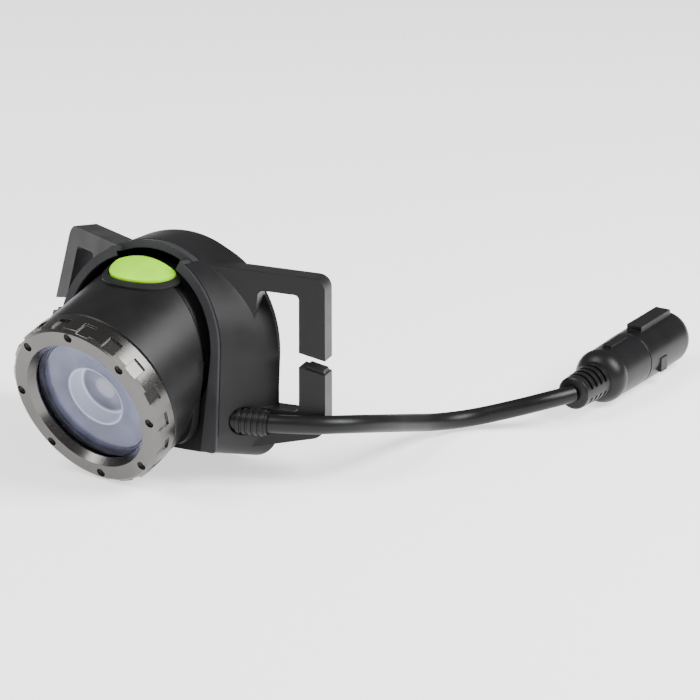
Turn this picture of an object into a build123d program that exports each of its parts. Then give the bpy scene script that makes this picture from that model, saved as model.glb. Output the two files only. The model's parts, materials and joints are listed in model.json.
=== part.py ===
"""Headlamp head for a headband: tilting, focusing LED lamp, rear housing, short lead.

Millimetres, +Z up, the lamp looks towards -Y.  The part rests on Z = 0, with its origin
in the middle of the lamp's footprint.  Two tilted frames carry the design: the housing
leans back a little, and the lamp head looks down from the tilt pivot.
"""
from build123d import *
import math
import os

os.makedirs("parts", exist_ok=True)

# ---------------------------------------------------------------- driving dimensions
PIVOT = Vector(0, 6.0, 27.04)     # tilt pivot, on the symmetry plane
HEAD_DOWN = 15.7                  # the optical axis points this far below level
HOUSING_LEAN = 11.5               # the housing leans back by this much

# Lamp head, as distances ahead of the pivot along the optical axis, and radii round it.
BARREL_R = 20.2
BARREL_END = 21.2
SPIGOT_R = 18.0
SPIGOT_END = 24.7
BORE_R = 16.95
NECK_R = 19.4                     # ball behind the barrel, centred on the pivot
NECK_INSIDE_R = 17.6
REAR_CUT = 6.8                    # the ball ends this far behind the pivot
SHOULDER = 8.5                    # rear face of the barrel, ahead of the pivot
COLLAR_HALF = 19.8                # chin collar under the barrel
COLLAR_DROP = 20.0
COLLAR_DEPTH = 2.0

BEZEL_R = 20.5
BEZEL_BACK = 21.4
BEZEL_FRONT = 27.8
SLEEVE_R = 15.9                   # inside of the bezel's inner sleeve
SLEEVE_WALL = 0.8
POCKETS = 18
POCKET_WIDTH = 3.4
POCKET_LENGTH = 4.1
DIMPLES = 8
DIMPLE_CIRCLE_R = 18.35
DIMPLE_R = 1.1

LENS_R = 14.35
LENS_FRONT = 23.6
LENS_TRAVEL = 3.0
FOCUS_TURN = 100                  # degrees of bezel turn for the lens travel
CAM_STEPS = 10
CAM_PINS = 3
CAM_PIN_R = 0.8
CAM_PIN_AT = 23.4
CAM_START = 105                   # angle of the first cam pin, anticlockwise from the right

BOARD_FACE = 11.4                 # front face of the LED board
BOARD_THICK = 1.6
SINK_R = 14.5
SINK_THICK = 4.8

BUTTON_TOP_R = 21.15
BUTTON_BOTTOM_R = 20.0
BUTTON_FLOOR_R = 19.3             # pocket under the button
BUTTON_AT = 2.0
SURROUND_R = 20.75

# Rear housing, as distances behind the pivot (negative: ahead of it).
TRIM_FRONT = -7.7
TRIM_BACK = -6.9
BODY_BACK = 8.5                   # the flared body ends here; a smaller boss goes on behind it
COVER_FACE = 12.0
HOUSING_BACK = 14.0
CAVITY_R = 21.3
BUTTON_ROOM_R = 22.2              # the cavity is taller where the button swings in
OPENING_R = 20.8
HOOD_R = 23.7
HOOD_INSIDE_R = 21.9
HOOD_HALF_ANGLE = 27.5
HOOD_BACK = -2.0
HOOD_FRONT = -4.4
HOOD_CHEEK = 3.0                  # angle taken up by the cheeks that join hood and ring
PIN_R = 2.0
PIN_INNER = 15.2
PIN_OUTER = 24.0
SPRING_FOOT_R = 22.2

# Strap loops.
WING_THICK = 5.9
SLOT_CORNER = 1.2

# Lead and connector.
CABLE_D = 4.2
CONNECTOR_R = 6.8
CONNECTOR_LENGTH = 50.5
NECK_LENGTH = 11.0
SOCKET_R = 5.0
SOCKET_DEPTH = 14.0
INSERT_R = 4.6

# ---------------------------------------------------------------- frames
X_AXIS = Vector(1, 0, 0)
_down = math.radians(HEAD_DOWN)
_lean = math.radians(HOUSING_LEAN)
OPTICAL = Vector(0, -math.cos(_down), -math.sin(_down))      # forward, out of the lens
HEAD_UP = Vector(0, -math.sin(_down), math.cos(_down))
BACK = Vector(0, math.cos(_lean), -math.sin(_lean))          # backward in the housing
RISE = Vector(0, math.sin(_lean), math.cos(_lean))           # upward in the housing
REAR = (BACK - OPTICAL).normalized()                         # halfway through the tilt
OPTICAL_AXIS = Axis(PIVOT, OPTICAL)


def head(distance):
    """Plane across the optical axis, this far ahead of the pivot, facing forward."""
    return Plane(origin=PIVOT + OPTICAL * distance, x_dir=X_AXIS, z_dir=OPTICAL)


def head_side():
    """Plane through the optical axis: x runs forward from the pivot, y runs upward."""
    return Plane(origin=PIVOT, x_dir=OPTICAL, z_dir=-X_AXIS)


def head_top(height):
    """Plane above the barrel, facing up from it: x runs right, y runs backward."""
    return Plane(origin=PIVOT + HEAD_UP * height, x_dir=X_AXIS, z_dir=HEAD_UP)


def housing(behind):
    """Cross plane of the housing, this far behind the pivot, facing forward."""
    return Plane(origin=PIVOT + BACK * behind, x_dir=X_AXIS, z_dir=-BACK)


def turned(*outline):
    """A solid of revolution about the optical axis; outline is (distance, radius) pairs."""
    with BuildPart() as lathe:
        with BuildSketch(head_side()):
            with BuildLine():
                Polyline(*outline, close=True)
            make_face()
        revolve(axis=OPTICAL_AXIS)
    return lathe.part


def ring(inner, outer, start, end):
    """A plain ring about the optical axis."""
    return turned((start, inner), (start, outer), (end, outer), (end, inner))


def arch(radius, centre, splay, foot_height, crown, foot_radius):
    """Face with a round top, straight legs that splay outward and a slightly round base."""
    angle = math.radians(splay)
    side_x = radius * math.cos(angle)
    side_y = centre + radius * math.sin(angle)
    foot_x = side_x + (side_y - foot_height) * math.tan(angle)
    with BuildSketch() as face:
        with BuildLine():
            ThreePointArc((side_x, side_y), (0, centre + radius), (-side_x, side_y))
            Line((-side_x, side_y), (-foot_x, foot_height))
            ThreePointArc((-foot_x, foot_height), (0, foot_height - crown), (foot_x, foot_height))
            Line((foot_x, foot_height), (side_x, side_y))
        make_face()
        fillet(face.vertices().group_by(Axis.Y)[0], foot_radius)
    return face.sketch


def sector(inner, outer, low, high):
    """Face between two radii and two angles, measured to the right from straight up."""
    def point(radius, angle):
        turn = math.radians(angle)
        return (radius * math.sin(turn), radius * math.cos(turn))

    middle = (low + high) / 2
    with BuildSketch() as face:
        with BuildLine():
            ThreePointArc(point(outer, low), point(outer, middle), point(outer, high))
            Line(point(outer, high), point(inner, high))
            ThreePointArc(point(inner, high), point(inner, middle), point(inner, low))
            Line(point(inner, low), point(outer, low))
        make_face()
    return face.sketch


def eye(half_width, tip, front, rear, tip_radius):
    """Button outline: two arcs between tips; tip, front and rear are distances ahead."""
    with BuildSketch() as face:
        with BuildLine():
            ThreePointArc((-half_width, -tip), (0, -front), (half_width, -tip))
            ThreePointArc((half_width, -tip), (0, -rear), (-half_width, -tip))
        make_face()
        fillet(face.vertices(), tip_radius)
    return face.sketch


def over_barrel(outline, inner, outer):
    """The stretch of a shell between two radii that lies under an outline on the barrel's top."""
    with BuildPart() as piece:
        with BuildSketch(head_top(0)):
            add(outline)
        extrude(amount=30)
        add(ring(inner, outer, -12, 16), mode=Mode.INTERSECT)
    return piece.part


def save(piece, name):
    """Label a finished piece and write it."""
    piece.label = name
    export_step(piece, "parts/" + name + ".step")


# ================================================================ lamp head
# Barrel: the part ahead of the shoulder, the chin collar under it and the ball behind.
with BuildPart() as head_barrel:
    add(turned((-6, 0), (-6, BARREL_R), (BARREL_END - 0.3, BARREL_R), (BARREL_END, BARREL_R - 0.3),
               (BARREL_END, SPIGOT_R), (SPIGOT_END, SPIGOT_R), (SPIGOT_END, 0)))
    split(bisect_by=housing(-SHOULDER), keep=Keep.TOP)
    shoulder_face = head_barrel.faces().sort_by(Axis(PIVOT, BACK))[-1]
    fillet(shoulder_face.edges(), 0.6)
    with BuildSketch(housing(-SHOULDER)):
        with Locations((0, -COLLAR_DROP / 2)):
            collar = Rectangle(2 * COLLAR_HALF, COLLAR_DROP)
        fillet(collar.vertices().group_by(Axis.Y)[0], 6)
    extrude(amount=COLLAR_DEPTH)
    with Locations(PIVOT):
        Sphere(NECK_R, rotation=(0, 0, 90))
    split(bisect_by=Plane(origin=PIVOT + REAR * REAR_CUT, z_dir=REAR), keep=Keep.BOTTOM)
    # Inside, from the back: ball, bore for the heat sink, throat for the lens, front bore.
    with BuildSketch(head_side()):
        with BuildLine():
            seat_d = 5.0
            seat_r = math.sqrt(NECK_INSIDE_R ** 2 - seat_d ** 2)
            ThreePointArc((-NECK_INSIDE_R, 0), (0, NECK_INSIDE_R), (seat_d, seat_r))
            Polyline((seat_d, seat_r), (seat_d, SINK_R + 0.1), (BOARD_FACE - BOARD_THICK, SINK_R + 0.1),
                     (BOARD_FACE - BOARD_THICK, 13.6), (13.0, 11.7), (14.6, 9.8), (15.4, 9.5),
                     (17.6, 13.8), (18.9, 16.0), (19.2, BORE_R), (SPIGOT_END, BORE_R),
                     (SPIGOT_END, 0), (-NECK_INSIDE_R, 0))
        make_face()
    revolve(axis=OPTICAL_AXIS, mode=Mode.SUBTRACT)
    # Guide slots for the lens carriage's pins, open at the front.
    with BuildSketch(head(CAM_PIN_AT - LENS_TRAVEL - CAM_PIN_R - 0.2)):
        with PolarLocations(BORE_R + 0.4, CAM_PINS, start_angle=CAM_START):
            Rectangle(1.1, 2 * CAM_PIN_R + 0.3)
    extrude(amount=8, mode=Mode.SUBTRACT)
    # Groove for the bezel's o-ring.
    add(ring(SPIGOT_R - 0.7, SPIGOT_R + 0.1, 22.4, 23.7), mode=Mode.SUBTRACT)
    # Pocket under the button, and the hole that the button's post works through.
    add(over_barrel(eye(8.9, -2.0, 6.7, -3.4, 1.0), BUTTON_FLOOR_R, 24), mode=Mode.SUBTRACT)
    with BuildSketch(head_top(12)):
        with Locations((0, -BUTTON_AT)):
            Circle(1.8)
    extrude(amount=12, mode=Mode.SUBTRACT)
    # Bores for the tilt pins.
    with BuildSketch(Plane(origin=PIVOT - X_AXIS * 30, x_dir=OPTICAL, z_dir=X_AXIS)):
        Circle(PIN_R + 0.05)
    extrude(amount=60, mode=Mode.SUBTRACT)
save(head_barrel.part, "head_barrel")

with BuildPart() as head_rear_cap:
    with BuildSketch(Plane(origin=PIVOT + REAR * (REAR_CUT - 1.2), z_dir=REAR)):
        Circle(15.9)
    extrude(amount=1.2)
    with BuildSketch(Plane(origin=PIVOT + REAR * REAR_CUT, z_dir=REAR)):
        Circle(17.2)
    extrude(amount=0.9)
save(head_rear_cap.part, "head_rear_cap")

with BuildPart() as heat_sink:
    sink_front = BOARD_FACE - BOARD_THICK
    add(turned((sink_front, 0), (sink_front, SINK_R), (sink_front - SINK_THICK, SINK_R),
               (sink_front - SINK_THICK, 11), (sink_front - 2.4, 10), (sink_front - 2.4, 0)))
    with BuildSketch(head(0)):
        with PolarLocations(8, 2, start_angle=0):
            Circle(0.8)
    extrude(amount=20, mode=Mode.SUBTRACT)
save(heat_sink.part, "heat_sink")

with BuildPart() as led_board:
    with BuildSketch(head(BOARD_FACE - BOARD_THICK)):
        Circle(11.4)
        with PolarLocations(8, 2, start_angle=0):
            Circle(1.0, mode=Mode.SUBTRACT)
    extrude(amount=BOARD_THICK)
save(led_board.part, "led_board")

with BuildPart() as led_emitter:
    with BuildSketch(head(BOARD_FACE)):
        Rectangle(3.5, 3.5)
    extrude(amount=0.7)
    with BuildSketch(head(BOARD_FACE + 0.7)):
        Circle(1.55)
    extrude(amount=1.0)
    fillet(led_emitter.faces().sort_by(OPTICAL_AXIS)[-1].edges(), 0.8)
save(led_emitter.part, "led_emitter")

with BuildPart() as board_screws:
    with BuildSketch(head(BOARD_FACE)):
        with PolarLocations(8, 2, start_angle=0):
            Circle(1.5)
    extrude(amount=0.5)
    with BuildSketch(head(BOARD_FACE - 3.6)):
        with PolarLocations(8, 2, start_angle=0):
            Circle(0.78)
    extrude(amount=3.6)
save(board_screws.part, "board_screws")

with BuildPart() as driver_board:
    with BuildSketch(head(2.4)):
        Circle(13.5)
    extrude(amount=1.2)
    with BuildSketch(head(1.2)):
        with Locations((0, -4)):
            Rectangle(9, 6)
        with Locations((-7, 4), (7, 4)):
            Rectangle(3.2, 4.6)
    extrude(amount=1.2)
save(driver_board.part, "driver_board")

# The switch stands on its edge board under the button.
with BuildPart() as tact_switch:
    with BuildSketch(head_top(14.2)):
        with Locations((0, -BUTTON_AT)):
            Rectangle(5.0, 4.4)
    extrude(amount=2.0)
    with BuildSketch(head_top(16.2)):
        with Locations((0, -BUTTON_AT)):
            Circle(1.3)
    extrude(amount=2.7)
save(tact_switch.part, "tact_switch")

with BuildPart() as button_surround:
    add(over_barrel(eye(10.2, -1.6, 8.6, -3.0, 1.4), BARREL_R, SURROUND_R))
    add(over_barrel(eye(8.9, -2.0, 6.7, -3.4, 1.0), BARREL_R - 1, SURROUND_R + 1), mode=Mode.SUBTRACT)
save(button_surround.part, "button_surround")

with BuildPart() as bezel_o_ring:
    with BuildSketch(head_side()):
        with Locations((23.05, 17.72)):
            Circle(0.4)
    revolve(axis=OPTICAL_AXIS)
save(bezel_o_ring.part, "bezel_o_ring")

with BuildPart() as power_button:
    add(over_barrel(eye(8.6, -2.0, 6.4, -3.1, 0.8), BUTTON_BOTTOM_R, BUTTON_TOP_R))
    with BuildSketch(head_top(BUTTON_FLOOR_R + 0.3)):
        with Locations((0, -BUTTON_AT)):
            Circle(1.3)
    extrude(amount=1.0)
save(power_button.part, "power_button")

# ================================================================ focus bezel
with BuildPart() as focus_bezel:
    add(turned((BEZEL_BACK, SPIGOT_R + 0.3), (BEZEL_BACK, BEZEL_R - 0.3), (BEZEL_BACK + 0.3, BEZEL_R),
               (27.0, BEZEL_R), (27.7, 19.5), (BEZEL_FRONT, 16.1), (26.0, 14.9), (25.8, 14.9),
               (25.8, SLEEVE_R), (19.4, SLEEVE_R), (19.4, SLEEVE_R + SLEEVE_WALL),
               (25.0, SLEEVE_R + SLEEVE_WALL), (25.0, SPIGOT_R + 0.3)))
    # Grip pockets, open at the front edge.
    with BuildSketch(head(BEZEL_FRONT - POCKET_LENGTH)):
        with PolarLocations(BEZEL_R + 0.2, POCKETS, start_angle=18.5):
            Rectangle(1.4, POCKET_WIDTH)
    extrude(amount=POCKET_LENGTH + 1, mode=Mode.SUBTRACT)
    # Dimples in the front face.
    with BuildSketch(head(BEZEL_FRONT - 0.8)):
        with PolarLocations(DIMPLE_CIRCLE_R, DIMPLES):
            Circle(DIMPLE_R)
    extrude(amount=2, mode=Mode.SUBTRACT)
    # Cam slots through the inner sleeve, milled in short steps along their helix.
    for step in range(CAM_STEPS + 1):
        share = step / CAM_STEPS
        with BuildSketch(head(CAM_PIN_AT - LENS_TRAVEL * share - 1.15)):
            with PolarLocations(SLEEVE_R + SLEEVE_WALL / 2, CAM_PINS, start_angle=CAM_START - FOCUS_TURN * share):
                Rectangle(SLEEVE_WALL + 0.5, 3.6)
        extrude(amount=2.3, mode=Mode.SUBTRACT)
save(focus_bezel.part, "focus_bezel")

with BuildPart() as window_seal:
    add(ring(15.0, 15.75, 25.5, 25.8))
save(window_seal.part, "window_seal")

with BuildPart() as front_window:
    with BuildSketch(head(24.5)):
        Circle(15.75)
    extrude(amount=1.0)
save(front_window.part, "front_window")

# ================================================================ lens group
def bulge(radius):
    """A point on the round bottom of the lens's front recess, this far from the axis."""
    bulge_r = 27
    return (20.1 - bulge_r + math.sqrt(bulge_r ** 2 - radius ** 2), radius)


with BuildPart() as focus_lens:
    with BuildSketch(head_side()):
        with BuildLine():
            ThreePointArc((15.0, 5.0), (18.0, 8.7), (22.6, 13.4))
            Polyline((22.6, 13.4), (22.6, LENS_R), (LENS_FRONT, LENS_R), (LENS_FRONT, 7.2), bulge(6.5))
            ThreePointArc(bulge(6.5), bulge(3.2), bulge(0))
            Polyline(bulge(0), (17.4, 0), (17.4, 3.0), (15.0, 3.4), (15.0, 5.0))
        make_face()
    revolve(axis=OPTICAL_AXIS)
save(focus_lens.part, "focus_lens")

with BuildPart() as lens_carriage:
    add(turned((22.2, 13.6), (22.2, 15.6), (24.2, 15.6), (24.2, LENS_R + 0.05), (22.6, LENS_R + 0.05), (22.6, 13.6)))
    for pin in range(CAM_PINS):
        angle = math.radians(CAM_START + 360 / CAM_PINS * pin)
        outward = X_AXIS * math.cos(angle) + HEAD_UP * math.sin(angle)
        with BuildSketch(Plane(origin=PIVOT + OPTICAL * CAM_PIN_AT + outward * 15, x_dir=OPTICAL, z_dir=outward)):
            Circle(CAM_PIN_R)
        extrude(amount=2.3)
save(lens_carriage.part, "lens_carriage")

# ================================================================ rear housing
# Strap loop: its front face is a plane swept back and leaning; x runs outward, y upward.
WING_NORMAL = X_AXIS * 0.4515 - BACK * 0.8901 + RISE * 0.0629
WING_ACROSS = (X_AXIS * 0.8901 + BACK * 0.4515).normalized()
WING_ORIGIN = PIVOT - BACK * 10.4 - RISE * 12.3
WING_BACK = (X_AXIS * -1.9 + BACK * 5.6 + RISE * 0.5).normalized()
WING_FACE = Plane(origin=WING_ORIGIN, x_dir=WING_ACROSS, z_dir=WING_NORMAL)

with BuildPart() as strap_loop:
    with BuildSketch(WING_FACE):
        with BuildLine():
            Polyline((14, 32.8), (42.3, 32.8), (46.7, -2.6), (35.3, -5.7), (27, -8.0), (20, -4), close=True)
        loop_face = make_face()
        outer_corners = loop_face.vertices().sort_by(Axis.X)[-2:]
        fillet(outer_corners, 3.1)
    extrude(amount=WING_THICK, dir=WING_BACK)
    # The slot for the strap.
    with BuildSketch(WING_FACE):
        with BuildLine():
            Polyline((27.6, 28.5), (36.9, 28.5), (40.1, 2.2), (27.6, 2.2), close=True)
        slot_face = make_face()
        fillet(slot_face.vertices(), SLOT_CORNER)
    extrude(amount=WING_THICK, dir=WING_BACK, mode=Mode.SUBTRACT)
    # The slit through the outer bar, where the strap is threaded in.
    with BuildSketch(WING_FACE):
        with BuildLine():
            Polyline((36, 16.1), (47, 14.0), (47, 10.9), (36, 13.0), close=True)
        make_face()
    extrude(amount=WING_THICK, dir=WING_BACK, mode=Mode.SUBTRACT)
    # A low nib on the lower end of the slit.
    with BuildSketch(Plane(origin=WING_ORIGIN + WING_BACK * 1.0, x_dir=WING_ACROSS, z_dir=WING_NORMAL)):
        with BuildLine():
            Polyline((40.0, 10.8), (40.3, 12.9), (44.2, 12.1), (44.9, 10.8), close=True)
        make_face()
    extrude(amount=4.2, dir=WING_BACK)

SCREW_PLACES = [(-19.9, 4.0), (19.9, 4.0), (-17.5, -15.5), (17.5, -15.5)]
GLAND_FROM = PIVOT + Vector(24.2, -4.1, -12.64)
GLAND_TO = PIVOT + Vector(32.1, -1.0, -12.74)
GLAND_WAY = (GLAND_TO - GLAND_FROM).normalized()


def gland(distance):
    """Plane across the cable gland, this far out from its root."""
    return Plane(origin=GLAND_FROM + GLAND_WAY * distance, x_dir=(0, 0, 1), z_dir=GLAND_WAY)


with BuildPart() as rear_housing:
    with BuildSketch(housing(TRIM_BACK)):
        add(arch(23.1, 0, 5.5, -20.3, 1.5, 5))
    with BuildSketch(housing(BODY_BACK)):
        add(arch(28.6, -3.3, 7.8, -21.6, 2.4, 7))
    loft()
    with BuildSketch(housing(HOUSING_BACK)):
        add(arch(24.9, -1.8, 5, -20.5, 4.24, 5))
    extrude(amount=HOUSING_BACK - BODY_BACK)
    add(strap_loop.part)
    add(mirror(strap_loop.part, about=Plane.YZ))
    # Cavity for the ball, taller where the button swings in.
    with Locations(PIVOT):
        Sphere(CAVITY_R, rotation=(0, 0, 90), mode=Mode.SUBTRACT)
    with BuildPart(mode=Mode.PRIVATE) as button_room:
        with Locations(PIVOT):
            Sphere(BUTTON_ROOM_R, rotation=(0, 0, 90))
        with BuildSketch(housing(COVER_FACE)):
            with Locations((0, 15)):
                Rectangle(21, 30)
        extrude(amount=COVER_FACE - TRIM_BACK + 1, mode=Mode.INTERSECT)
    add(button_room.part, mode=Mode.SUBTRACT)
    # Mouth for the barrel, and the step that the hood sits in.
    with BuildSketch(housing(-4.2)):
        Circle(OPENING_R)
    extrude(amount=4, mode=Mode.SUBTRACT)
    with BuildSketch(housing(HOOD_BACK + 0.1)):
        add(sector(OPENING_R - 0.3, 27, -HOOD_HALF_ANGLE - 0.1, HOOD_HALF_ANGLE + 0.1))
    extrude(amount=6, mode=Mode.SUBTRACT)
    # Recess and screw holes for the back cover.
    with BuildSketch(housing(HOUSING_BACK + 2)):
        add(arch(23.7, -1.8, 5, -18.8, 3, 4))
    extrude(amount=HOUSING_BACK + 2 - COVER_FACE, mode=Mode.SUBTRACT)
    with BuildSketch(housing(COVER_FACE)):
        with Locations(*SCREW_PLACES):
            Circle(1.1)
    extrude(amount=3, mode=Mode.SUBTRACT)
    with BuildSketch(housing(COVER_FACE)):
        Circle(18.7)
        Circle(18.15, mode=Mode.SUBTRACT)
    extrude(amount=0.5, mode=Mode.SUBTRACT)
    # Seats for the tilt pins, the gland and the detent spring.
    with BuildSketch(Plane(origin=PIVOT - X_AXIS * PIN_OUTER, x_dir=OPTICAL, z_dir=X_AXIS)):
        Circle(PIN_R + 0.02)
    extrude(amount=2 * PIN_OUTER, mode=Mode.SUBTRACT)
    with BuildSketch(gland(-5)):
        Circle(2.4)
    extrude(amount=9, mode=Mode.SUBTRACT)
    with BuildSketch(gland(0)):
        Circle(3.15)
    extrude(amount=6, mode=Mode.SUBTRACT)
    with BuildSketch(gland(-14)):
        Circle(1.2)
    extrude(amount=12, mode=Mode.SUBTRACT)
    with BuildSketch(Plane(origin=PIVOT - X_AXIS * 3.1, x_dir=RISE, z_dir=X_AXIS)):
        add(sector(20.0, SPRING_FOOT_R + 0.1, -120.2, -116.8))
    extrude(amount=6.2, mode=Mode.SUBTRACT)
save(rear_housing.part, "rear_housing")

with BuildPart() as hood_ring:
    gap = HOOD_HALF_ANGLE - HOOD_CHEEK
    with BuildSketch(housing(TRIM_BACK)):
        add(arch(22.9, 0, 5.5, -20.3, 0.3, 1))
        Circle(OPENING_R, mode=Mode.SUBTRACT)
        with Locations((0, -15)):
            Rectangle(2 * OPENING_R, 30, mode=Mode.SUBTRACT)
        add(sector(OPENING_R - 0.5, HOOD_R, -gap, gap), mode=Mode.SUBTRACT)
    extrude(amount=TRIM_BACK - TRIM_FRONT)
    with BuildSketch(housing(HOOD_BACK)):
        add(sector(HOOD_INSIDE_R, HOOD_R, -HOOD_HALF_ANGLE, HOOD_HALF_ANGLE))
    extrude(amount=HOOD_BACK - HOOD_FRONT)
    with BuildSketch(housing(HOOD_BACK)):
        add(sector(HOOD_INSIDE_R, HOOD_R - 0.5, gap, HOOD_HALF_ANGLE))
        add(sector(HOOD_INSIDE_R, HOOD_R - 0.5, -HOOD_HALF_ANGLE, -gap))
    extrude(amount=HOOD_BACK - TRIM_FRONT)
save(hood_ring.part, "hood_ring")

with BuildPart() as back_cover:
    with BuildSketch(housing(HOUSING_BACK)):
        add(arch(23.5, -1.8, 5, -18.6, 3, 3.8))
    extrude(amount=HOUSING_BACK - COVER_FACE)
    with BuildSketch(housing(HOUSING_BACK)):
        with Locations(*SCREW_PLACES):
            Circle(2.05)
    extrude(amount=1.2, mode=Mode.SUBTRACT)
    with BuildSketch(housing(HOUSING_BACK)):
        with Locations(*SCREW_PLACES):
            Circle(1.3)
    extrude(amount=3, mode=Mode.SUBTRACT)
save(back_cover.part, "back_cover")

with BuildPart() as cover_gasket:
    with BuildSketch(housing(COVER_FACE)):
        Circle(18.6)
        Circle(18.25, mode=Mode.SUBTRACT)
    extrude(amount=0.5)
save(cover_gasket.part, "cover_gasket")

with BuildPart() as cover_screws:
    with BuildSketch(housing(HOUSING_BACK - 0.1)):
        with Locations(*SCREW_PLACES):
            Circle(1.9)
    extrude(amount=1.1)
    with BuildSketch(housing(HOUSING_BACK - 1.2)):
        with Locations(*SCREW_PLACES):
            Circle(1.05)
    extrude(amount=3.6)
    with BuildSketch(housing(HOUSING_BACK - 0.1)):
        with Locations(*SCREW_PLACES):
            Rectangle(2.4, 0.6)
            Rectangle(0.6, 2.4)
    extrude(amount=0.6, mode=Mode.SUBTRACT)
save(cover_screws.part, "cover_screws")

with BuildPart() as tilt_pins:
    with BuildSketch(Plane(origin=PIVOT + X_AXIS * PIN_INNER, x_dir=OPTICAL, z_dir=X_AXIS)):
        Circle(PIN_R)
    extrude(amount=PIN_OUTER - PIN_INNER)
    mirror(about=Plane.YZ)
save(tilt_pins.part, "tilt_pins")

# Leaf spring under the ball: a strip bent round the tilt axis, with a foot in the floor.
with BuildPart() as detent_spring:
    with BuildSketch(Plane(origin=PIVOT - X_AXIS * 3, x_dir=RISE, z_dir=X_AXIS)):
        add(sector(20.0, 20.5, -120, -84))
        add(sector(20.0, SPRING_FOOT_R, -120, -117))
    extrude(amount=6)
save(detent_spring.part, "detent_spring")

with BuildPart() as cable_gland:
    with BuildSketch(gland(-4.8)):
        Circle(2.35)
    extrude(amount=5)
    with BuildSketch(gland(0.2)):
        Circle(2.75)
    extrude(amount=(GLAND_TO - GLAND_FROM).length - 0.2)
    for rib in range(5):
        with BuildSketch(gland(1.3 + 1.4 * rib)):
            Circle(3.05)
        extrude(amount=0.85)
    with BuildSketch(gland(-4.8)):
        Circle(1.2)
    extrude(amount=4, mode=Mode.SUBTRACT)
save(cable_gland.part, "cable_gland")

# ================================================================ lead and connector
CABLE_ROUTE = [
    GLAND_TO,
    Vector(40.5, 8.2, 14.6),
    Vector(46.5, 16.0, 13.8),
    Vector(48.3, 27.0, 10.8),
    Vector(47.5, 39.0, 6.9),
    Vector(47.3, 50.5, 3.2),
    Vector(51.5, 59.5, 2.3),
    Vector(59.5, 64.8, 4.6),
    Vector(66.2, 71.0, 6.5),
    Vector(69.1, 77.0, CONNECTOR_R),
]
cable_radii = []
for before, corner, after in zip(CABLE_ROUTE, CABLE_ROUTE[1:], CABLE_ROUTE[2:]):
    turn = (corner - before).get_angle(after - corner)
    shorter = min((corner - before).length, (after - corner).length)
    cable_radii.append(0.45 * shorter / math.tan(math.radians(turn) / 2))
print("cable arc radii:", [round(radius, 1) for radius in cable_radii])

with BuildPart() as power_cable:
    with BuildLine() as cable_path:
        FilletPolyline(*CABLE_ROUTE, radius=cable_radii)
    with BuildSketch(Plane(origin=CABLE_ROUTE[0], z_dir=CABLE_ROUTE[1] - CABLE_ROUTE[0])):
        Circle(CABLE_D / 2)
    sweep(path=cable_path.wire())
cable_length = cable_path.wire().length
print("cable length:", round(cable_length, 1), "volume ratio:",
      round(power_cable.part.volume / (cable_length * math.pi * CABLE_D ** 2 / 4), 4))
save(power_cable.part, "power_cable")

CONNECTOR_WAY = Vector(-0.03, 1, 0).normalized()
CONNECTOR_SIDE = Vector(1, 0.03, 0).normalized()


def connector(distance):
    """Plane across the connector, this far from the neck's end, facing the socket end."""
    return Plane(origin=CABLE_ROUTE[-1] + CONNECTOR_WAY * distance, x_dir=-CONNECTOR_SIDE, z_dir=CONNECTOR_WAY)


CONNECTOR_LINE = Axis(CABLE_ROUTE[-1], CONNECTOR_WAY)
CONNECTOR_PROFILE = Plane(origin=CABLE_ROUTE[-1], x_dir=CONNECTOR_WAY, z_dir=-CONNECTOR_SIDE)

with BuildPart() as connector_strain_relief:
    with BuildSketch(CONNECTOR_PROFILE):
        with BuildLine():
            Polyline((0, 0), (0, 3.6), (0.4, 4.0), (NECK_LENGTH, 4.5), (NECK_LENGTH, 0), close=True)
        make_face()
    revolve(axis=CONNECTOR_LINE)
    for slot in range(4):
        with BuildSketch(connector(2.2 + 2.1 * slot)):
            Circle(6)
            Circle(3.1, mode=Mode.SUBTRACT)
            with Locations((4.4, 0), (-4.4, 0)):
                Rectangle(3.4, 2.2, mode=Mode.SUBTRACT)
        extrude(amount=0.9, mode=Mode.SUBTRACT)
save(connector_strain_relief.part, "connector_strain_relief")

with BuildPart() as connector_sleeve:
    with BuildSketch(CONNECTOR_PROFILE):
        with BuildLine():
            end = CONNECTOR_LENGTH
            Line((NECK_LENGTH, 0), (NECK_LENGTH, 4.6))
            ThreePointArc((NECK_LENGTH, 4.6), (12.3, 5.9), (16.0, 6.4))
            Polyline((16.0, 6.4), (27.6, 6.7), (27.7, 6.5), (28.0, 6.5), (28.1, 6.7), (end - 3.2, CONNECTOR_R))
            ThreePointArc((end - 3.2, CONNECTOR_R), (end - 1, 6.05), (end, SOCKET_R + 0.2))
            Polyline((end, SOCKET_R + 0.2), (end, SOCKET_R), (end - SOCKET_DEPTH, SOCKET_R),
                     (end - SOCKET_DEPTH, INSERT_R), (end - SOCKET_DEPTH - 8, INSERT_R),
                     (end - SOCKET_DEPTH - 8, 0), (NECK_LENGTH, 0))
        make_face()
    revolve(axis=CONNECTOR_LINE)
    # Slim rib and key lug on top, latch tab on the side.
    with BuildSketch(connector(17)):
        with Locations((0, 6.4)):
            Rectangle(2.2, 1.4)
    extrude(amount=8.5)
    with BuildSketch(connector(31)):
        with Locations((0, 6.9)):
            Rectangle(4.0, 2.2)
    extrude(amount=15.5)
    with BuildSketch(connector(32.7)):
        with Locations((-6.5, -1.6)):
            Rectangle(1.0, 3.6)
    extrude(amount=3.2)
save(connector_sleeve.part, "connector_sleeve")

CONTACT_PLACES = [(-2.1, 0), (2.1, 0), (0, -2.1), (0, 2.1)]

with BuildPart() as connector_insert:
    with BuildSketch(connector(CONNECTOR_LENGTH - SOCKET_DEPTH - 8)):
        Circle(INSERT_R - 0.02)
    extrude(amount=8)
    with BuildSketch(connector(CONNECTOR_LENGTH - SOCKET_DEPTH - 6)):
        with Locations(*CONTACT_PLACES):
            Circle(0.82)
    extrude(amount=7, mode=Mode.SUBTRACT)
save(connector_insert.part, "connector_insert")

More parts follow.
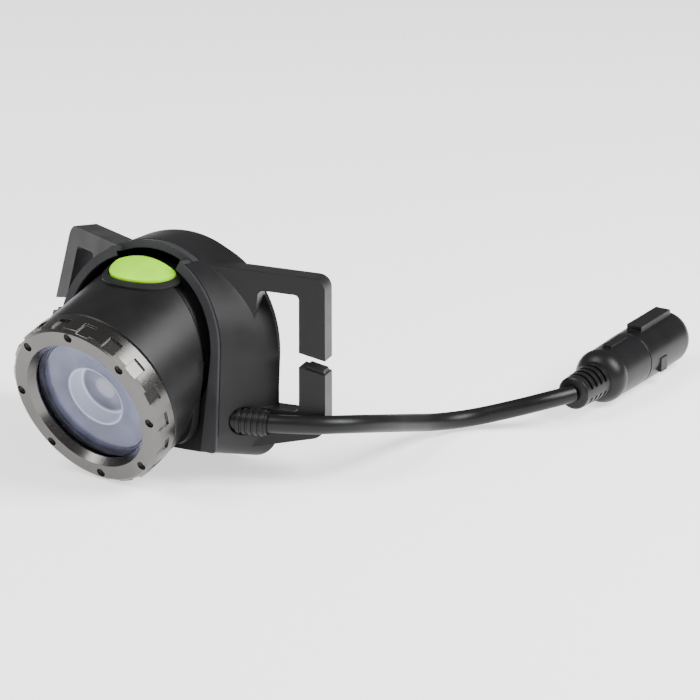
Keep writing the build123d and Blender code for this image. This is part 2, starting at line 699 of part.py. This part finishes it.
with BuildPart() as connector_contacts:
    with BuildSketch(connector(CONNECTOR_LENGTH - SOCKET_DEPTH - 6)):
        with Locations(*CONTACT_PLACES):
            Circle(0.8)
    extrude(amount=5.7)
    with BuildSketch(connector(CONNECTOR_LENGTH - SOCKET_DEPTH - 5)):
        with Locations(*CONTACT_PLACES):
            Circle(0.5)
    extrude(amount=5, mode=Mode.SUBTRACT)
save(connector_contacts.part, "connector_contacts")
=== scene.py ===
"""Headlamp head with its short lead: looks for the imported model, in metres."""
import json
import math

import bpy
from mathutils import Euler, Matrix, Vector


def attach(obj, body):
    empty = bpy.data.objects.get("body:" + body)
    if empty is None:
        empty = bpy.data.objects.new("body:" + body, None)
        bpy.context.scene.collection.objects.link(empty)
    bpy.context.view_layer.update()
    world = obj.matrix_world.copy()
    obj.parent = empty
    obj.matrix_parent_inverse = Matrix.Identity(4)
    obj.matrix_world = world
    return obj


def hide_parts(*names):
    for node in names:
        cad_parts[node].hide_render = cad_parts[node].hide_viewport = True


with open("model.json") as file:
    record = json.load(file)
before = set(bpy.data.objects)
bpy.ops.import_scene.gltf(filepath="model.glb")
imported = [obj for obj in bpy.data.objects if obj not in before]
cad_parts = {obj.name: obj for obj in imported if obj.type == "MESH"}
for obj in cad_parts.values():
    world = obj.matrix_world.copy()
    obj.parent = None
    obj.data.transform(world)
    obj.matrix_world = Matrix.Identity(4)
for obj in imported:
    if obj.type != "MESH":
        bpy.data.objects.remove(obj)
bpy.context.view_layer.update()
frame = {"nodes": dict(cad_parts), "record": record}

MM = 0.001
FLOOR_HALF = 3.0                  # half the floor's side
FLOOR_GAP = 0.2 * MM              # the floor lies this far under the part
LENS_RADIUS = 14.4 * MM           # the optic's colour bands are spread over this radius
CABLE_DIAMETER = 4.2 * MM

# ---------------------------------------------------------------- camera, lights, floor


def add_camera():
    """Catalogue view: a long lens, a little above and to the lamp's left."""
    data = bpy.data.cameras.new("camera")
    data.sensor_width = 36
    data.lens = 150.5
    data.clip_start = 0.01
    camera = bpy.data.objects.new("camera", data)
    camera.location = (0.3947, -0.4893, 0.2559)
    camera.rotation_euler = Euler((math.radians(69.92), 0, math.radians(34.55)))
    bpy.context.scene.collection.objects.link(camera)
    bpy.context.scene.camera = camera


def add_softbox(name, location, target, size, power, tint=(1, 1, 1)):
    """A rectangular area light that faces its target."""
    data = bpy.data.lights.new(name, "AREA")
    data.shape = "RECTANGLE"
    data.size, data.size_y = size
    data.energy = power
    data.color = tint
    light = bpy.data.objects.new(name, data)
    light.location = location
    light.rotation_euler = (Vector(target) - Vector(location)).to_track_quat("-Z", "Y").to_euler()
    bpy.context.scene.collection.objects.link(light)


def add_floor():
    """Plain white sweep."""
    mesh = bpy.data.meshes.new("floor")
    half = FLOOR_HALF
    corners = [(-half, -half, 0), (half, -half, 0), (half, half, 0), (-half, half, 0)]
    mesh.from_pydata(corners, [], [(0, 1, 2, 3)])
    floor = bpy.data.objects.new("floor", mesh)
    floor.location.z = -FLOOR_GAP
    bpy.context.scene.collection.objects.link(floor)
    floor.data.materials.append(floor_material())


def set_world(strength):
    world = bpy.data.worlds.new("world")
    world.use_nodes = True
    background = world.node_tree.nodes["Background"]
    background.inputs["Color"].default_value = (1, 1, 1, 1)
    background.inputs["Strength"].default_value = strength
    bpy.context.scene.world = world


# ---------------------------------------------------------------- materials
class Shader:
    """A small helper round one material's node tree."""

    def __init__(self, name):
        self.material = bpy.data.materials.new(name)
        self.material.use_nodes = True
        self.nodes = self.material.node_tree.nodes
        self.links = self.material.node_tree.links
        self.surface = self.nodes["Principled BSDF"]
        self.coordinates = self.nodes.new("ShaderNodeTexCoord").outputs["Object"]

    def set(self, **values):
        for name, value in values.items():
            self.surface.inputs[name.replace("_", " ")].default_value = value

    def link(self, output, name):
        self.links.new(output, self.surface.inputs[name])

    def noise(self, size, detail=2.0):
        """Noise with features of this size in metres."""
        noise = self.nodes.new("ShaderNodeTexNoise")
        noise.inputs["Scale"].default_value = 1 / size
        noise.inputs["Detail"].default_value = detail
        self.links.new(self.coordinates, noise.inputs["Vector"])
        return noise.outputs["Fac"]

    def spread(self, value, low, high, start=0.3, end=0.7):
        """A value turned into a range."""
        node = self.nodes.new("ShaderNodeMapRange")
        node.inputs["From Min"].default_value = start
        node.inputs["From Max"].default_value = end
        node.inputs["To Min"].default_value = low
        node.inputs["To Max"].default_value = high
        self.links.new(value, node.inputs["Value"])
        return node.outputs["Result"]

    def blend(self, value, dark, light):
        """Two colours mixed by a value."""
        node = self.nodes.new("ShaderNodeMix")
        node.data_type = "RGBA"
        node.inputs[6].default_value = (*dark, 1)
        node.inputs[7].default_value = (*light, 1)
        self.links.new(value, node.inputs[0])
        return node.outputs[2]

    def bump(self, height, distance, strength=1.0, edge=0.0):
        """Surface relief, with edges softened by a bevel radius in metres."""
        node = self.nodes.new("ShaderNodeBump")
        node.inputs["Distance"].default_value = distance
        node.inputs["Strength"].default_value = strength
        self.links.new(height, node.inputs["Height"])
        if edge:
            bevel = self.nodes.new("ShaderNodeBevel")
            bevel.samples = 4
            bevel.inputs["Radius"].default_value = edge
            self.links.new(bevel.outputs["Normal"], node.inputs["Normal"])
        self.link(node.outputs["Normal"], "Normal")


def moulded(name, colour, roughness, grain, relief, edge=0.0003, gloss=0.22, painted_glow=0.0):
    """Injection-moulded plastic or rubber: spark-eroded grain, faint handling marks, and an optional
    painted glow in the plastic's own colour.
    """
    shader = Shader(name)
    fine = shader.noise(grain, 3)
    broad = shader.noise(0.009, 3)
    shader.set(Specular_IOR_Level=gloss, Emission_Color=(*colour, 1), Emission_Strength=painted_glow)
    lighter = [min(1, channel * 1.35 + 0.001) for channel in colour]
    shader.link(shader.blend(shader.spread(broad, 0, 1), colour, lighter), "Base Color")
    shader.link(shader.spread(broad, roughness - 0.05, roughness + 0.06), "Roughness")
    shader.bump(fine, relief, 1.0, edge)
    return shader.material


def metal(name, colour, roughness, edge=0.0002):
    """Turned metal with fine tool marks."""
    shader = Shader(name)
    marks = shader.noise(0.0004, 4)
    broad = shader.noise(0.012, 2)
    darker = [channel * 0.9 for channel in colour]
    shader.set(Metallic=1.0)
    shader.link(shader.blend(shader.spread(broad, 0, 1), darker, colour), "Base Color")
    shader.link(shader.spread(marks, roughness - 0.03, roughness + 0.04), "Roughness")
    shader.bump(marks, 0.000002, 0.1, edge)
    return shader.material


def lens_material():
    """Focusing optic seen through the window: a painted highlight gives the bright rim round the deep
    central recess, which is darkened with painted shade.
    """
    shader = Shader("clear_lens")
    flatten = shader.nodes.new("ShaderNodeMapping")
    flatten.inputs["Scale"].default_value = (1, 1, 0)
    length = shader.nodes.new("ShaderNodeVectorMath")
    length.operation = "LENGTH"
    shader.links.new(shader.coordinates, flatten.inputs["Vector"])
    shader.links.new(flatten.outputs["Vector"], length.inputs[0])
    ramp = shader.nodes.new("ShaderNodeValToRGB")
    # Colour rings by radius: the bright ring at 0.45 to 0.5 is a painted highlight on the recess rim, and
    # the dark band inside it is painted shade in the recess.
    lens_tones_and_painted_light = [(0.0, (0.34, 0.32, 0.30)), (0.16, (0.25, 0.24, 0.23)), (0.2, (0.11, 0.11, 0.11)),
             (0.40, (0.05, 0.05, 0.055)), (0.45, (0.75, 0.77, 0.8)), (0.5, (0.6, 0.62, 0.66)),
             (0.54, (0.03, 0.032, 0.045)), (0.8, (0.07, 0.075, 0.10)), (1.0, (0.04, 0.042, 0.06))]
    ramp.color_ramp.elements[0].color = (*lens_tones_and_painted_light[0][1], 1)
    ramp.color_ramp.elements[1].color = (*lens_tones_and_painted_light[-1][1], 1)
    for position, colour in lens_tones_and_painted_light[1:-1]:
        ramp.color_ramp.elements.new(position).color = (*colour, 1)
    shader.links.new(shader.spread(length.outputs["Value"], 0, 1, 0.0, LENS_RADIUS), ramp.inputs["Fac"])
    cloud = shader.spread(shader.noise(0.009, 1), 0, 1, 0.4, 0.75)
    haze = shader.blend(cloud, (0, 0, 0), (0.025, 0.028, 0.045))
    total = shader.nodes.new("ShaderNodeMix")
    total.data_type = "RGBA"
    total.blend_type = "ADD"
    total.inputs[0].default_value = 1.0
    shader.links.new(ramp.outputs["Color"], total.inputs[6])
    shader.links.new(haze, total.inputs[7])
    shader.link(total.outputs[2], "Base Color")
    shader.set(Coat_Weight=1.0, Coat_Roughness=0.04, Specular_IOR_Level=0.4)
    shader.link(shader.spread(shader.noise(0.002), 0.12, 0.2), "Roughness")
    return shader.material


def window_glass():
    """Thin coated window: clear, with a faint violet-blue reflection."""
    shader = Shader("window_glass")
    clear_node = shader.nodes.new("ShaderNodeBsdfTransparent")
    clear_node.inputs["Color"].default_value = (0.93, 0.94, 0.98, 1)
    gloss = shader.nodes.new("ShaderNodeBsdfGlossy")
    gloss.inputs["Color"].default_value = (0.7, 0.72, 1.0, 1)
    gloss.inputs["Roughness"].default_value = 0.02
    facing = shader.nodes.new("ShaderNodeLayerWeight")
    grazing = shader.nodes.new("ShaderNodeMath")
    grazing.operation = "POWER"
    grazing.inputs[1].default_value = 4.0
    shader.links.new(facing.outputs["Facing"], grazing.inputs[0])
    smudge = shader.spread(shader.noise(0.004, 3), 0.7, 1.3)
    amount = shader.nodes.new("ShaderNodeMath")
    amount.operation = "MULTIPLY"
    shader.links.new(grazing.outputs["Value"], amount.inputs[0])
    shader.links.new(smudge, amount.inputs[1])
    mix = shader.nodes.new("ShaderNodeMixShader")
    shader.links.new(amount.outputs["Value"], mix.inputs["Fac"])
    shader.links.new(clear_node.outputs["BSDF"], mix.inputs[1])
    shader.links.new(gloss.outputs["BSDF"], mix.inputs[2])
    output = shader.nodes["Material Output"]
    shader.links.new(mix.outputs["Shader"], output.inputs["Surface"])
    return shader.material


def floor_material():
    shader = Shader("floor_white")
    shader.set(Roughness=0.9, Emission_Color=(1, 1, 1, 1), Emission_Strength=1.1)
    paper = shader.spread(shader.noise(0.4), 0, 1)
    shader.link(shader.blend(paper, (0.93, 0.93, 0.93), (0.95, 0.95, 0.95)), "Base Color")
    return shader.material


def board_material():
    shader = Shader("circuit_board")
    traces = shader.spread(shader.noise(0.0012, 0), 0, 1, 0.48, 0.52)
    shader.link(shader.blend(traces, (0.01, 0.09, 0.04), (0.02, 0.15, 0.07)), "Base Color")
    shader.set(Roughness=0.35)
    return shader.material


def led_material():
    shader = Shader("led_phosphor")
    grain = shader.spread(shader.noise(0.0003), 0, 1)
    shader.link(shader.blend(grain, (0.75, 0.55, 0.12), (0.85, 0.7, 0.25)), "Base Color")
    shader.set(Roughness=0.3, Coat_Weight=1.0, Coat_Roughness=0.05)
    return shader.material


MATERIALS = {
    "housing_plastic": moulded("housing_plastic", (0.007, 0.007, 0.0075), 0.42, 0.00022, 0.000008),
    "trim_plastic": moulded("trim_plastic", (0.024, 0.024, 0.027), 0.5, 0.00018, 0.000012),
    "barrel_plastic": moulded("barrel_plastic", (0.006, 0.006, 0.0065), 0.38, 0.0002, 0.000005),
    "seal_rubber": moulded("seal_rubber", (0.004, 0.004, 0.004), 0.65, 0.0003, 0.00001, gloss=0.2),
    "surround_rubber": moulded("surround_rubber", (0.008, 0.008, 0.0085), 0.5, 0.0002, 0.000008),
    "cable_rubber": moulded("cable_rubber", (0.005, 0.005, 0.0055), 0.36, 0.0004, 0.000006),
    # The button is given a faint painted glow in its own green.
    "button_green": moulded("button_green", (0.27, 0.66, 0.0), 0.6, 0.0003, 0.000004,
                            gloss=0.04, painted_glow=0.1),
    "insert_plastic": moulded("insert_plastic", (0.01, 0.01, 0.01), 0.4, 0.0003, 0.000008),
    "bezel_metal": metal("bezel_metal", (0.125, 0.12, 0.116), 0.24),
    "aluminium": metal("aluminium", (0.78, 0.78, 0.8), 0.3),
    "steel": metal("steel", (0.55, 0.55, 0.57), 0.3),
    "brass": metal("brass", (0.85, 0.62, 0.25), 0.25),
    "board": board_material(),
    "led": led_material(),
    "clear": window_glass(),
    "clear_lens": lens_material(),
}


def finish_cad_nodes():
    """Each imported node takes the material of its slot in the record."""
    for entry in frame["record"]["subparts"]:
        mesh = frame["nodes"][entry["node"]].data
        material = MATERIALS[entry["material_slot"]]
        if mesh.materials:
            for index in range(len(mesh.materials)):
                mesh.materials[index] = material
        else:
            mesh.materials.append(material)


# ---------------------------------------------------------------- focusing optic
PIVOT = (0, 6.0 * MM, 27.04 * MM)
HEAD_DOWN = math.radians(15.7)
LENS_OUTLINE = [(15.0, 5.0), (16.4, 7.0), (18.0, 8.7), (20.2, 11.2), (22.6, 13.4),
                (22.6, 14.3), (23.4, 14.3), (23.6, 14.1), (23.6, 7.4), (23.5, 7.2),
                (20.3, 6.5), (19.9, 5.4), (20.0, 3.0), (20.1, 0.0)]
LENS_SIDES = 128


def add_lens():
    """The optic as a turned shell about its own Z axis, which points out of the lamp."""
    vertices = []
    for distance, radius in LENS_OUTLINE[:-1]:
        for side in range(LENS_SIDES):
            angle = 2 * math.pi * side / LENS_SIDES
            vertices.append((radius * MM * math.cos(angle), radius * MM * math.sin(angle), distance * MM))
    tip = len(vertices)
    vertices.append((0, 0, LENS_OUTLINE[-1][0] * MM))
    faces = []
    for row in range(len(LENS_OUTLINE) - 2):
        for side in range(LENS_SIDES):
            after = (side + 1) % LENS_SIDES
            low, high = row * LENS_SIDES, (row + 1) * LENS_SIDES
            faces.append((low + side, low + after, high + after, high + side))
    last = (len(LENS_OUTLINE) - 2) * LENS_SIDES
    for side in range(LENS_SIDES):
        faces.append((last + side, last + (side + 1) % LENS_SIDES, tip))
    faces.append(tuple(reversed(range(LENS_SIDES))))
    mesh = bpy.data.meshes.new("optic")
    mesh.from_pydata(vertices, [], faces)
    for polygon in mesh.polygons:
        polygon.use_smooth = True
    mesh.set_sharp_from_angle(angle=math.radians(35))
    optic = bpy.data.objects.new("optic", mesh)
    optic.location = PIVOT
    optic.rotation_euler = Euler((math.radians(90) + HEAD_DOWN, 0, 0))
    bpy.context.scene.collection.objects.link(optic)
    optic.data.materials.append(MATERIALS["clear_lens"])
    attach(optic, "lens_carriage")
    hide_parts("focus_lens")


# ---------------------------------------------------------------- lead
CABLE_ROUTE = [
    (0.0321, 0.0050, 0.0143),
    (0.0405, 0.0082, 0.0146),
    (0.0465, 0.0160, 0.0138),
    (0.0483, 0.0270, 0.0108),
    (0.0475, 0.0390, 0.0069),
    (0.0473, 0.0505, 0.0032),
    (0.0515, 0.0595, 0.0023),
    (0.0595, 0.0648, 0.0046),
    (0.0662, 0.0710, 0.0065),
    (0.0691, 0.0770, 0.0068),
]


def add_cable():
    """The lead: round rubber cable from the gland to the connector's neck."""
    curve = bpy.data.curves.new("lead", "CURVE")
    curve.dimensions = "3D"
    curve.bevel_depth = CABLE_DIAMETER / 2
    curve.bevel_resolution = 8
    curve.resolution_u = 16
    spline = curve.splines.new("NURBS")
    spline.points.add(len(CABLE_ROUTE) - 1)
    for point, place in zip(spline.points, CABLE_ROUTE):
        point.co = (*place, 1)
    spline.order_u = 3
    spline.use_endpoint_u = True
    lead = bpy.data.objects.new("lead", curve)
    bpy.context.scene.collection.objects.link(lead)
    lead.data.materials.append(MATERIALS["cable_rubber"])
    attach(lead, "housing")
    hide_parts("power_cable")


# ---------------------------------------------------------------- scene
add_camera()
add_floor()
set_world(0.25)
add_softbox("key", (-0.35, -0.35, 0.75), (0, 0, 0.03), (0.45, 0.45), 7)
add_softbox("right_top", (0.5, 0.15, 0.5), (0.02, 0, 0.03), (0.3, 0.4), 9)
add_softbox("front_low", (0.25, -0.75, 0.12), (0, -0.02, 0.02), (0.5, 0.2), 1.4, (1.0, 0.97, 0.93))
finish_cad_nodes()
add_lens()
add_cable()
